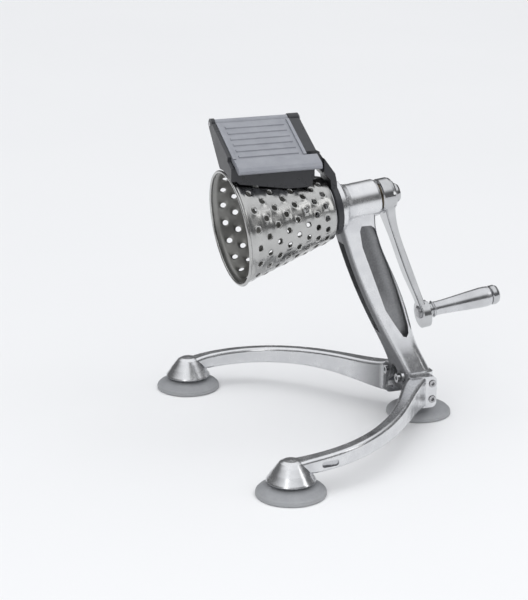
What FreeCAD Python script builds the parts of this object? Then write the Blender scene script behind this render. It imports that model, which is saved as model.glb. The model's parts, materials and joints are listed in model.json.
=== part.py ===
"""Hand-cranked cone shredder on a three-footed stand, as a parametric FreeCAD document.

The feeding end points to -X, the crank to +X, the hopper leans to +Y and +Z is up. The floor is
Z = 0. "Forward" distances in the sheet are measured from the rear foot towards -X.
"""
import math
import os

import FreeCAD
import Part
import Sketcher

V = FreeCAD.Vector

DIMENSIONS = [
    # alias, value in mm or degrees, what it sets
    ("rear_x", 70.2, "X of the rear foot's centre"),
    ("axis_fwd", 33.0, "forward distance of the shaft's datum point"),
    ("axis_z", 227.0, "height of the shaft's datum point"),
    ("tilt", 7.0, "upward tilt of the shaft towards the crank"),
    ("shaft_rad", 6.0, "drive shaft radius"),
    ("run_gap", 0.05, "radial clearance of a running fit"),
    ("bush_rad", 9.0, "bush outside radius"),
    ("bush_flange", 12.0, "bush flange radius"),
    ("bush_len", 14.0, "bush length inside the barrel"),
    ("barrel_front", -61.5, "barrel front face along the shaft"),
    ("barrel_rear", -17.5, "barrel rear face along the shaft"),
    ("barrel_rad", 18.0, "barrel radius"),
    ("nose_rad", 25.0, "radius of the barrel's front flange"),
    ("nose_len", 6.0, "length of the barrel's front flange"),
    ("ring_len", 6.0, "thickness of the hopper's fixing ring"),
    ("ring_rad", 27.0, "outside radius of the hopper's fixing ring"),
    ("ring_bore", 16.0, "bore radius of the hopper's fixing ring"),
    ("head_rad", 14.0, "drive head radius"),
    ("square_half", 4.5, "half the width of the drive square"),
    ("cone_back", -70.7, "cone end plate along the shaft"),
    ("cone_mouth", -164.0, "cone mouth along the shaft"),
    ("cone_small", 31.0, "cone radius at the end plate"),
    ("cone_large", 53.5, "cone radius at the mouth"),
    ("sheet_wall", 1.2, "cone sheet thickness"),
    ("arm_reach", 125.5, "crank radius, shaft to handle"),
    ("eye_front", 16.4, "front face of the crank eye along the shaft"),
    ("eye_thick", 7.4, "thickness of the crank eye"),
    ("grip_start", 31.0, "handle grip start along the shaft"),
    ("grip_end", 93.0, "handle grip end along the shaft"),
    ("spindle_rad", 4.0, "handle spindle radius"),
    ("foot_fwd", 193.0, "forward distance of the front feet"),
    ("foot_side", 150.0, "sideways distance of the front feet"),
    ("cup_rad", 32.0, "suction cup radius"),
    ("cup_tall", 15.5, "suction cup height"),
    ("stud_rad", 3.0, "foot stud radius"),
    ("base_side", 24.0, "half width of the base block"),
    ("hopper_front", 205.0, "forward distance of the hopper's front face"),
    ("hopper_back", 118.0, "forward distance of the hopper's back face"),
    ("lid_slope", 27.0, "slope of the hopper mouth"),
    ("hinge_y", 33.8, "hinge line, sideways"),
    ("hinge_z", 299.8, "hinge line, height"),
    ("pin_rad", 2.0, "hinge pin radius"),
    ("lid_thick", 3.0, "lid plate thickness"),
]

LEG_BOLTS = (24, 40)
TIE_SIDES = (-14, 14)
RING_SCREWS = [
    (f"{21 * math.cos(math.radians(turn)):.3f}", f"{21 * math.sin(math.radians(turn)):.3f}")
    for turn in (0, 120, 240)
]
HUB_RIVETS = [("20.5", "0"), ("0", "20.5"), ("-20.5", "0"), ("0", "-20.5")]
PRESS_SCREWS = [("-144", "-45.4"), ("-184", "-45.4")]
DIM = {alias: value for alias, value, _ in DIMENSIONS}
WRITTEN = []
doc = FreeCAD.newDocument("cone_shredder")


def make_sheet():
    sheet = doc.addObject("Spreadsheet::Sheet", "Dims")
    for row, (alias, value, note) in enumerate(DIMENSIONS, start=1):
        sheet.set(f"A{row}", alias)
        sheet.set(f"B{row}", str(value))
        sheet.set(f"C{row}", note)
        sheet.setAlias(f"B{row}", alias)
    doc.recompute()
    return sheet


SHEET = make_sheet()


def value_of(expression):
    found = SHEET.evalExpression(str(expression))
    return float(getattr(found, "Value", found))


def place(obj, x="0", y="0", z="0", axis=(0, 0, 1), angle="0"):
    """Place an object by expressions: a base point, then a turn about a fixed axis."""
    spot = FreeCAD.Placement(
        V(value_of(x), value_of(y), value_of(z)), FreeCAD.Rotation(V(*axis), value_of(angle))
    )
    obj.Placement = spot
    for key, expression in zip("xyz", (x, y, z)):
        obj.setExpression(f"Placement.Base.{key}", str(expression))


def keep(obj, label):
    """Name an object as a finished sub-part that gets a file of its own."""
    obj.Label = label
    WRITTEN.append(obj)
    return obj


def on_axis(obj, off="0", along="0"):
    """Put a body made along local Z on the shaft: `along` it and `off` below (local X is down)."""
    lean = math.radians(DIM["tilt"])
    down, out = value_of(off), value_of(along)
    x = DIM["rear_x"] - DIM["axis_fwd"] + out * math.cos(lean) + down * math.sin(lean)
    z = DIM["axis_z"] + out * math.sin(lean) - down * math.cos(lean)
    obj.Placement = FreeCAD.Placement(V(x, 0, z), FreeCAD.Rotation(V(0, 1, 0), 90 - DIM["tilt"]))
    turn = "Dims.tilt * 1deg"
    obj.setExpression(
        "Placement.Base.x",
        f"Dims.rear_x - Dims.axis_fwd + ({along}) * cos({turn}) + ({off}) * sin({turn})",
    )
    obj.setExpression(
        "Placement.Base.z", f"Dims.axis_z + ({along}) * sin({turn}) - ({off}) * cos({turn})"
    )


def new_body(name):
    return doc.addObject("PartDesign::Body", name)


def sketch_on(body, plane, name, offset=(0, 0, 0), turn=0.0, axis=(0, 0, 1)):
    face = [f for f in body.Origin.OriginFeatures if f.Role == plane][0]
    sketch = body.newObject("Sketcher::SketchObject", name)
    sketch.AttachmentSupport = [(face, "")]
    sketch.MapMode = "FlatFace"
    sketch.AttachmentOffset = FreeCAD.Placement(V(*offset), FreeCAD.Rotation(V(*axis), turn))
    return sketch


def pin_point(sketch, geometry, point, xe, ye):
    """Hold one sketch point at (xe, ye), both expressions on the sheet."""
    for kind, expression in (("DistanceX", xe), ("DistanceY", ye)):
        index = sketch.addConstraint(
            Sketcher.Constraint(kind, -1, 1, geometry, point, value_of(expression))
        )
        if "Dims" in str(expression):
            sketch.setExpression(f"Constraints[{index}]", str(expression))


def outline(sketch, corners):
    """Closed polygon through corners given as pairs of expressions."""
    spots = [V(value_of(x), value_of(y), 0) for x, y in corners]
    first = sketch.GeometryCount
    count = len(spots)
    for here, there in zip(spots, spots[1:] + spots[:1]):
        sketch.addGeometry(Part.LineSegment(here, there), False)
    for i in range(count):
        after = first + (i + 1) % count
        sketch.addConstraint(Sketcher.Constraint("Coincident", first + i, 2, after, 1))
    for i, (x, y) in enumerate(corners):
        pin_point(sketch, first + i, 1, x, y)


def circle(sketch, x, y, radius):
    index = sketch.addGeometry(
        Part.Circle(V(value_of(x), value_of(y), 0), V(0, 0, 1), value_of(radius)), False
    )
    pin_point(sketch, index, 3, x, y)
    number = sketch.addConstraint(Sketcher.Constraint("Radius", index, value_of(radius)))
    if "Dims" in str(radius):
        sketch.setExpression(f"Constraints[{number}]", str(radius))


def soft_box(sketch, wide, tall, radius):
    """Rounded rectangle about the sketch's origin."""
    w, t, r = value_of(wide) / 2, value_of(tall) / 2, value_of(radius)
    centres = [(w - r, t - r), (r - w, t - r), (r - w, r - t), (w - r, r - t)]
    arcs = []
    for i, (cx, cy) in enumerate(centres):
        ring = Part.Circle(V(cx, cy, 0), V(0, 0, 1), r)
        start = i * math.pi / 2
        arcs.append(sketch.addGeometry(Part.ArcOfCircle(ring, start, start + math.pi / 2), False))
    ends = [
        (V(w - r, t, 0), V(r - w, t, 0)),
        (V(-w, t - r, 0), V(-w, r - t, 0)),
        (V(r - w, -t, 0), V(w - r, -t, 0)),
        (V(w, r - t, 0), V(w, t - r, 0)),
    ]
    lines = [sketch.addGeometry(Part.LineSegment(a, b), False) for a, b in ends]
    for i in range(4):
        sketch.addConstraint(Sketcher.Constraint("Tangent", arcs[i], 2, lines[i], 1))
        sketch.addConstraint(Sketcher.Constraint("Tangent", lines[i], 2, arcs[(i + 1) % 4], 1))
    sketch.addConstraint(Sketcher.Constraint("Horizontal", lines[0]))
    for other in arcs[1:]:
        sketch.addConstraint(Sketcher.Constraint("Equal", arcs[0], other))
    sketch.addConstraint(Sketcher.Constraint("Radius", arcs[0], r))
    sketch.addConstraint(Sketcher.Constraint("DistanceY", -1, 1, lines[0], 1, t))
    sketch.addConstraint(Sketcher.Constraint("DistanceX", -1, 1, lines[1], 1, -w))
    sketch.addConstraint(Sketcher.Constraint("DistanceY", -1, 1, lines[2], 1, -t))
    sketch.addConstraint(Sketcher.Constraint("DistanceX", -1, 1, lines[3], 1, w))


def spin(body, name, corners, cut=False):
    """Turn a profile of (radius, along) pairs once round the body's Z axis."""
    sketch = sketch_on(body, "XZ_Plane", name + "_profile")
    outline(sketch, corners)
    feature = body.newObject("PartDesign::Groove" if cut else "PartDesign::Revolution", name)
    feature.Profile = sketch
    feature.ReferenceAxis = (sketch, ["V_Axis"])
    feature.Angle = 360
    sketch.Visibility = False
    return feature


def pad(body, sketch, name, length, both=False, back=False):
    feature = body.newObject("PartDesign::Pad", name)
    feature.Profile = sketch
    feature.Length = value_of(length)
    if "Dims" in str(length):
        feature.setExpression("Length", str(length))
    if both:
        feature.Midplane = True
    feature.Reversed = back
    return feature


def pocket(body, sketch, name, length, both=False, back=False):
    feature = body.newObject("PartDesign::Pocket", name)
    feature.Profile = sketch
    feature.Length = value_of(length)
    if "Dims" in str(length):
        feature.setExpression("Length", str(length))
    if both:
        feature.Midplane = True
    feature.Reversed = back
    return feature


def polar(body, name, feature, count, angle=360.0, axis="Z_Axis"):
    line = [f for f in body.Origin.OriginFeatures if f.Role == axis][0]
    pattern = body.newObject("PartDesign::PolarPattern", name)
    pattern.Originals = [feature]
    pattern.Axis = (line, [""])
    pattern.Angle = angle
    pattern.Occurrences = count
    body.Tip = pattern
    return pattern


def shaft_corner(along, radius):
    """Sheet expressions for a point on the shaft's upright plane, in a body at rear_x."""
    along, radius, turn = f"({along})", f"({radius})", "Dims.tilt * 1deg"
    x = f"0 - Dims.axis_fwd + {along} * cos({turn}) - {radius} * sin({turn})"
    z = f"Dims.axis_z + {along} * sin({turn}) + {radius} * cos({turn})"
    return x, z


def spin_on_shaft(body, name, corners, cut=False):
    """Turn a profile of (along, radius) pairs about the shaft's axis in a body at rear_x."""
    lean = math.radians(DIM["tilt"])
    sketch = sketch_on(body, "XZ_Plane", name + "_profile")
    outline(sketch, [shaft_corner(along, radius) for along, radius in corners])
    ends = [
        V(along * math.cos(lean) - DIM["axis_fwd"], DIM["axis_z"] + along * math.sin(lean), 0)
        for along in (-220.0, 20.0)
    ]
    line = sketch.addGeometry(Part.LineSegment(*ends), True)
    sketch.addConstraint(Sketcher.Constraint("Block", line))
    feature = body.newObject("PartDesign::Groove" if cut else "PartDesign::Revolution", name)
    feature.Profile = sketch
    feature.ReferenceAxis = (sketch, ["Axis0"])
    feature.Angle = 360
    return feature


def make_column():
    """Cast column with the bearing barrel on top and the base block at its foot."""
    body = new_body("stand_column")
    place(body, x="Dims.rear_x")
    stations = [
        # height, forward centre, forward size, side size, corner radius
        (18, 8.5, 31, 42, 10),
        (44, 9, 32, 44, 10),
        (70, 20.5, 31, 32, 9),
        (100, 33.5, 36, 28, 8),
        (140, 50, 40, 27, 7),
        (180, 66.5, 37, 27, 7),
        (214, 75, 42, 28, 7),
    ]
    rings = []
    for i, (height, middle, deep, side, radius) in enumerate(stations):
        ring = sketch_on(body, "XY_Plane", f"column_ring{i}", (-middle, 0, height))
        soft_box(ring, deep, side, radius)
        rings.append(ring)
    shape = body.newObject("PartDesign::AdditiveLoft", "column")
    shape.Profile = rings[0]
    shape.Sections = rings[1:]
    shape.Ruled = False
    block = sketch_on(body, "XY_Plane", "block_plan", (-9.75, 0, 24))
    soft_box(block, "29.5", "2 * Dims.base_side", "5")
    pad(body, block, "block", "26")
    barrel_column(body)
    return keep(body, "stand_column")


def barrel_column(body):
    """The barrel, its bore, the light panels and the fork of the column."""
    front, rear = "Dims.barrel_front", "Dims.barrel_rear"
    spin_on_shaft(
        body,
        "barrel",
        [
            (front, "1"),
            (front, "Dims.nose_rad - 1"),
            (front + " + 1", "Dims.nose_rad"),
            (front + " + Dims.nose_len - 1", "Dims.nose_rad"),
            (front + " + Dims.nose_len", "Dims.nose_rad - 1"),
            (front + " + Dims.nose_len + 3", "Dims.barrel_rad + 2"),
            (front + " + Dims.nose_len + 7", "Dims.barrel_rad + 0.4"),
            (front + " + Dims.nose_len + 12", "Dims.barrel_rad"),
            (rear + " - 3", "Dims.barrel_rad"),
            (rear + " - 0.9", "Dims.barrel_rad - 0.9"),
            (rear, "Dims.barrel_rad - 3"),
            (rear, "1"),
        ],
    )
    spin_on_shaft(
        body,
        "bore",
        [
            (front + " - 5", "0.0"),
            (front + " - 5", "Dims.bush_rad"),
            (rear + " + 5", "Dims.bush_rad"),
            (rear + " + 5", "0.0"),
        ],
        cut=True,
    )
    # The casting is cut back flush with both end faces of the barrel.
    for name, face, reach in (("front_trim", front, " - 40"), ("rear_trim", rear, " + 40")):
        trim = sketch_on(body, "XZ_Plane", name + "_profile")
        spots = [(face, "0 - 45"), (face, "60"), (face + reach, "60"), (face + reach, "0 - 45")]
        outline(trim, [shaft_corner(along, radius) for along, radius in spots])
        pocket(body, trim, name, "120", both=True)
    panel_column(body)
    fork_column(body)
    screws = across_axis(body, "nose_holes", "barrel_front")
    for x, y in RING_SCREWS:
        circle(screws, x, y, "2.05")
    pocket(body, screws, "nose_bores", "9", back=True)


def panel_column(body):
    """Recesses in both sides and in the front of the column."""
    for side, name in ((1, "far"), (-1, "near")):
        panel = sketch_on(body, "XZ_Plane", f"{name}_panel_profile", (0, 0, -side * 6.5))
        outline(
            panel,
            [
                ("-70.5", "201"),
                ("-61", "201"),
                ("-56.5", "198"),
                ("-51.5", "188"),
                ("-47.8", "176"),
                ("-39.3", "155"),
                ("-31.5", "134"),
                ("-24.5", "113"),
                ("-19.5", "96"),
                ("-19", "89"),
                ("-21", "85"),
                ("-24.5", "86"),
                ("-33", "98"),
                ("-44", "115"),
                ("-52", "136"),
                ("-60", "157"),
                ("-69", "180"),
                ("-72", "196"),
            ],
        )
        pocket(body, panel, f"{name}_panel", "30", back=side < 0)
    face = sketch_on(body, "XZ_Plane", "front_panel_profile")
    outline(
        face,
        [
            ("-84", "183"),
            ("-80", "180"),
            ("-63.5", "138"),
            ("-46.5", "102"),
            ("-42", "93"),
            ("-60", "84"),
            ("-100", "183"),
        ],
    )
    pocket(body, face, "front_panel", "15", both=True)


def fork_column(body):
    """Fork, screw bosses, stud seat and fixing holes at the foot of the column."""
    bosses = sketch_on(body, "YZ_Plane", "boss_profile", (0, 0, -27.5))
    for side in TIE_SIDES:
        circle(bosses, str(side), "44", "6.6")
    pad(body, bosses, "bosses", "6")
    arch = sketch_on(body, "YZ_Plane", "fork_profile", (0, 0, -60))
    outline(
        arch,
        [
            ("-20.6", "14"),
            ("20.6", "14"),
            ("20.6", "29"),
            ("12", "35.6"),
            ("5.8", "40"),
            ("5.8", "49"),
            ("3.4", "53"),
            ("-3.4", "53"),
            ("-5.8", "49"),
            ("-5.8", "40"),
            ("-12", "35.6"),
            ("-20.6", "29"),
        ],
    )
    pocket(body, arch, "fork", "50", back=True)
    seat = sketch_on(body, "XY_Plane", "stud_seat_profile", (0, 0, 10))
    circle(seat, "0", "0", "8.5")
    pocket(body, seat, "stud_seat", "11.2", back=True)
    hole = sketch_on(body, "XY_Plane", "stud_hole_profile", (0, 0, 10))
    circle(hole, "0", "0", "Dims.stud_rad + Dims.run_gap")
    pocket(body, hole, "stud_hole", "19", back=True)
    bolts = sketch_on(body, "XZ_Plane", "leg_bolt_holes")
    for height in LEG_BOLTS:
        circle(bolts, "0.5", str(height), "2.05")
    pocket(body, bolts, "leg_bolt_bores", "60", both=True)
    ties = sketch_on(body, "YZ_Plane", "tie_holes", (0, 0, -31))
    for side in TIE_SIDES:
        circle(ties, str(side), "44", "2.05")
    pocket(body, ties, "tie_bores", "17", back=True)


def across_axis(body, name, station, shift=0.0):
    """Sketch square to the shaft at a sheet station, in a body that stands upright at rear_x."""
    lean = math.radians(DIM["tilt"])
    along = DIM[station] + shift
    spot = V(
        along * math.cos(lean) - DIM["axis_fwd"], 0, DIM["axis_z"] + along * math.sin(lean)
    )
    return sketch_on(body, "XY_Plane", name, spot, 90 - DIM["tilt"], (0, 1, 0))


def make_bushes():
    for label, face, way in (("front_bush", "barrel_front", 1), ("rear_bush", "barrel_rear", -1)):
        body = new_body(label)
        on_axis(body)
        inner = "Dims.shaft_rad + Dims.run_gap"
        seat = f"Dims.{face}"
        lip = f"Dims.{face} - {1.5 * way}"
        deep = f"Dims.{face} + {way} * Dims.bush_len"
        spin(
            body,
            label + "_turned",
            [
                (inner, lip),
                ("Dims.bush_flange", lip),
                ("Dims.bush_flange", seat),
                ("Dims.bush_rad", seat),
                ("Dims.bush_rad", deep),
                (inner, deep),
            ],
        )
        keep(body, label)


def make_shaft():
    body = new_body("drive_shaft")
    on_axis(body)
    spin(
        body,
        "shaft_turned",
        [
            ("0", "-88.5"),
            ("3.3", "-88.5"),
            ("3.9", "-87.7"),
            ("3.9", "-78.5"),
            ("4.4", "-78.5"),
            ("4.4", "-68.5"),
            ("Dims.shaft_rad", "-68.5"),
            ("Dims.shaft_rad", "-15.8"),
            ("5", "-15.8"),
            ("5", "-0.8"),
            ("3.02", "-0.8"),
            ("3.02", "-14"),
            ("0", "-16"),
        ],
    )
    square = sketch_on(body, "XY_Plane", "square_outline", (0, 0, -78.5))
    half = "Dims.square_half"
    outline(square, [(half, half), (f"-{half}", half), (f"-{half}", f"-{half}"), (half, f"-{half}")])
    pad(body, square, "square", "10")
    cross = sketch_on(body, "YZ_Plane", "pin_hole_profile")
    circle(cross, "0", "-66.2", "1.52")
    pocket(body, cross, "pin_hole", "40", both=True)
    keep(body, "drive_shaft")


def make_drive_head():
    body = new_body("drive_head")
    on_axis(body, along="Dims.barrel_front")
    spin(
        body,
        "head_turned",
        [
            ("Dims.shaft_rad + 0.01", "-7"),
            ("Dims.head_rad - 0.8", "-7"),
            ("Dims.head_rad", "-6.2"),
            ("Dims.head_rad", "-3.2"),
            ("Dims.head_rad - 0.8", "-2.4"),
            ("Dims.shaft_rad + 0.01", "-2.4"),
        ],
    )
    cross = sketch_on(body, "YZ_Plane", "head_pin_hole")
    circle(cross, "0", "-4.7", "1.52")
    pocket(body, cross, "head_pin_bore", "40", both=True)
    keep(body, "drive_head")

    pin = new_body("drive_pin")
    on_axis(pin, along="Dims.barrel_front")
    rod = sketch_on(pin, "YZ_Plane", "pin_section")
    circle(rod, "0", "-4.7", "1.5")
    pad(pin, rod, "pin_rod", "27", both=True)
    keep(pin, "drive_pin")

    washer = new_body("thrust_washer")
    on_axis(washer, along="Dims.barrel_front")
    spin(
        washer,
        "washer_turned",
        [
            ("Dims.shaft_rad + 0.1", "-2.3"),
            ("11", "-2.3"),
            ("11", "-1.6"),
            ("Dims.shaft_rad + 0.1", "-1.6"),
        ],
    )
    keep(washer, "thrust_washer")


def make_cone():
    body = new_body("cone")
    on_axis(body)
    back, mouth = "Dims.cone_back", "Dims.cone_mouth"
    spin(
        body,
        "cone_spun",
        [
            ("16", f"{back} - Dims.sheet_wall"),
            ("16", back),
            ("Dims.cone_small - 0.6", back),
            ("Dims.cone_small", f"{back} - 0.6"),
            ("Dims.cone_large", mouth),
            ("Dims.cone_large + 1.6", f"{mouth} - 0.5"),
            ("Dims.cone_large + 1.9", f"{mouth} - 1.6"),
            ("Dims.cone_large + 1.3", f"{mouth} - 2.8"),
            ("Dims.cone_large + 0.2", f"{mouth} - 3"),
            ("Dims.cone_large - 0.9", f"{mouth} - 2"),
            ("Dims.cone_large - Dims.sheet_wall - 0.05", mouth),
            ("Dims.cone_small - Dims.sheet_wall - 0.4", f"{back} - Dims.sheet_wall"),
        ],
    )
    for row, (turn, stations) in enumerate(((0, (-83, -110, -137)), (18, (-96.5, -123.5, -150.5)))):
        drill = sketch_on(body, "YZ_Plane", f"cut_row{row}")
        drill.AttachmentOffset = FreeCAD.Placement(
            V(0, 0, 0), FreeCAD.Rotation(V(0, 1, 0), turn)
        )
        for station in stations:
            circle(drill, "0", str(station), "3.2")
        first = pocket(body, drill, f"cuts{row}", "70", back=True)
        doc.recompute()
        polar(body, f"cut_ring{row}", first, 10)
    holes = sketch_on(body, "XY_Plane", "cone_rivet_holes", (0, 0, -78.5))
    for x, y in HUB_RIVETS:
        circle(holes, x, y, "2.05")
    pocket(body, holes, "cone_rivet_bores", "15", back=True)
    keep(body, "cone")


def make_cone_hub():
    body = new_body("cone_hub")
    on_axis(body, along="Dims.barrel_front")
    spin(
        body,
        "hub_turned",
        [
            ("0", "-17"),
            ("11", "-17"),
            ("12", "-16"),
            ("12", "-11.4"),
            ("13", "-10.6"),
            ("15.6", "-10.4"),
            ("15.6", "-9.15"),
            ("26.6", "-9.15"),
            ("26.6", "-7.2"),
            ("0", "-7.2"),
        ],
    )
    square = sketch_on(body, "XY_Plane", "hub_square", (0, 0, -22))
    half = "(Dims.square_half + 0.06)"
    outline(square, [(half, half), (f"-{half}", half), (f"-{half}", f"-{half}"), (half, f"-{half}")])
    pocket(body, square, "hub_square_hole", "20", back=True)
    holes = sketch_on(body, "XY_Plane", "hub_rivet_holes", (0, 0, -17))
    for x, y in HUB_RIVETS:
        circle(holes, x, y, "2.05")
    pocket(body, holes, "hub_rivet_bores", "15", back=True)
    keep(body, "cone_hub")

    rivets = new_body("cone_rivets")
    on_axis(rivets, along="Dims.barrel_front")
    shanks = sketch_on(rivets, "XY_Plane", "rivet_shanks", (0, 0, -10.6))
    for x, y in HUB_RIVETS:
        circle(shanks, x, y, "2")
    pad(rivets, shanks, "rivet_bodies", "3.2")
    heads = sketch_on(rivets, "XY_Plane", "rivet_heads", (0, 0, -12))
    for x, y in HUB_RIVETS:
        circle(heads, x, y, "3.6")
    pad(rivets, heads, "rivet_domes", "1.55")
    keep(rivets, "cone_rivets")

    knob = new_body("cone_knob")
    on_axis(knob, along="Dims.barrel_front")
    spin(
        knob,
        "knob_turned",
        [
            ("0", "-33"),
            ("6", "-32.6"),
            ("9", "-31"),
            ("10", "-29"),
            ("10", "-21"),
            ("9", "-19.5"),
            ("8", "-17.3"),
            ("3.96", "-17.3"),
            ("3.96", "-28"),
            ("0", "-29.5"),
        ],
    )
    flute = sketch_on(knob, "XY_Plane", "knob_flute", (0, 0, -35))
    circle(flute, "11.6", "0", "2.6")
    cut = pocket(knob, flute, "knob_flute_cut", "20", back=True)
    doc.recompute()
    polar(knob, "knob_flutes", cut, 8)
    keep(knob, "cone_knob")


def make_crank():
    arm = new_body("crank_arm")
    on_axis(arm)
    spin(
        arm,
        "hub_boss",
        [
            ("0", "-15.7"),
            ("15.6", "-15.7"),
            ("16.8", "-14.5"),
            ("16.8", "-5.5"),
            ("16", "-3"),
            ("14.2", "-1.2"),
            ("12", "-0.4"),
            ("0", "-0.4"),
        ],
    )
    stations = [
        # distance down, along the shaft, width, thickness
        (3, -8.2, 29, 11),
        (16, -7.8, 25, 9.4),
        (33, -4.6, 19.5, 7.6),
        (60, 2.0, 17, 7.2),
        (92, 10.6, 16, 7.2),
        (126, 20.1, 17, 7.3),
    ]
    rings = []
    for i, (down, along, wide, thick) in enumerate(stations):
        ring = sketch_on(arm, "YZ_Plane", f"arm_ring{i}", (0, along, down))
        soft_box(ring, wide, thick, 2.4)
        rings.append(ring)
    bar = arm.newObject("PartDesign::AdditiveLoft", "arm_bar")
    bar.Profile = rings[0]
    bar.Sections = rings[1:]
    eye = sketch_on(arm, "XY_Plane", "eye_outline", (0, 0, DIM["eye_front"]))
    circle(eye, "Dims.arm_reach + 2.5", "0", "13.4")
    pad(arm, eye, "eye", "Dims.eye_thick")
    bore = sketch_on(arm, "XY_Plane", "hub_bore_profile", (0, 0, -20))
    circle(bore, "0", "0", "5.02")
    pocket(arm, bore, "hub_bore", "24", back=True)
    bore = sketch_on(arm, "XY_Plane", "eye_bore_profile", (0, 0, 5))
    circle(bore, "Dims.arm_reach", "0", "Dims.spindle_rad + 0.03")
    pocket(arm, bore, "eye_bore", "30", back=True)
    seat = sketch_on(arm, "XY_Plane", "head_seat_profile", (0, 0, DIM["eye_front"]))
    circle(seat, "Dims.arm_reach", "0", "6.9")
    pocket(arm, seat, "head_seat", "12")
    keep(arm, "crank_arm")

    washer = new_body("crank_washer")
    on_axis(washer)
    ring = [("3.2", "-0.3"), ("10.2", "-0.3"), ("10.2", "0.7"), ("3.2", "0.7")]
    spin(washer, "crank_washer_turned", ring)
    keep(washer, "crank_washer")

    cap = new_body("crank_cap")
    on_axis(cap)
    spin(
        cap,
        "cap_turned",
        [
            ("0", "-12"),
            ("2.4", "-12"),
            ("3", "-11.4"),
            ("3", "0.8"),
            ("9.4", "0.8"),
            ("9.4", "3"),
            ("8.2", "5"),
            ("5.5", "6.2"),
            ("0", "6.8"),
        ],
    )
    slot = sketch_on(cap, "XY_Plane", "cap_slot", (0, 0, 5.2))
    outline(slot, [("-10", "-0.8"), ("10", "-0.8"), ("10", "0.8"), ("-10", "0.8")])
    pocket(cap, slot, "cap_slot_cut", "5", back=True)
    keep(cap, "crank_cap")


def make_handle():
    spindle = new_body("handle_spindle")
    on_axis(spindle, "Dims.arm_reach")
    spin(
        spindle,
        "spindle_turned",
        [
            ("0", "13.6"),
            ("4.8", "13.8"),
            ("6.2", "14.9"),
            ("6.4", "Dims.eye_front - 0.05"),
            ("Dims.spindle_rad", "Dims.eye_front - 0.05"),
            ("Dims.spindle_rad", "98"),
            ("0", "98"),
        ],
    )
    keep(spindle, "handle_spindle")

    bore = "Dims.spindle_rad + Dims.run_gap"
    ferrule = new_body("handle_ferrule")
    on_axis(ferrule, "Dims.arm_reach")
    spin(
        ferrule,
        "ferrule_turned",
        [
            (bore, "23.85"),
            ("8.6", "23.85"),
            ("9", "24.3"),
            ("9", "25.8"),
            ("7.4", "26.8"),
            ("6.4", "27.5"),
            ("6.4", "28.6"),
            ("8.2", "29.6"),
            ("8.4", "30.2"),
            ("8", "30.7"),
            (bore, "30.7"),
        ],
    )
    keep(ferrule, "handle_ferrule")

    grip = new_body("handle_grip")
    on_axis(grip, "Dims.arm_reach")
    start, end = "Dims.grip_start", "Dims.grip_end"
    spin(
        grip,
        "grip_turned",
        [
            (bore, start),
            ("6.6", start),
            ("7.2", f"{start} + 0.8"),
            ("6.9", f"{start} + 5"),
            ("7.2", f"{start} + 12"),
            ("7.9", f"{start} + 22"),
            ("8.8", f"{start} + 34"),
            ("9.6", f"{start} + 45"),
            ("10", f"{end} - 10"),
            ("10", f"{end} - 5"),
            ("9.6", f"{end} - 1.6"),
            ("8.8", end),
            (bore, end),
        ],
    )
    keep(grip, "handle_grip")

    cap = new_body("handle_cap")
    on_axis(cap, "Dims.arm_reach")
    spin(
        cap,
        "handle_cap_turned",
        [
            (bore, f"{end} + 0.35"),
            ("9", f"{end} + 0.35"),
            ("9.7", f"{end} + 1.2"),
            ("9.7", f"{end} + 5"),
            ("8.6", f"{end} + 7.4"),
            ("6", f"{end} + 9.2"),
            ("0", f"{end} + 10"),
            ("0", f"{end} + 5.2"),
            (bore, f"{end} + 5.2"),
        ],
    )
    keep(cap, "handle_cap")


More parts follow.
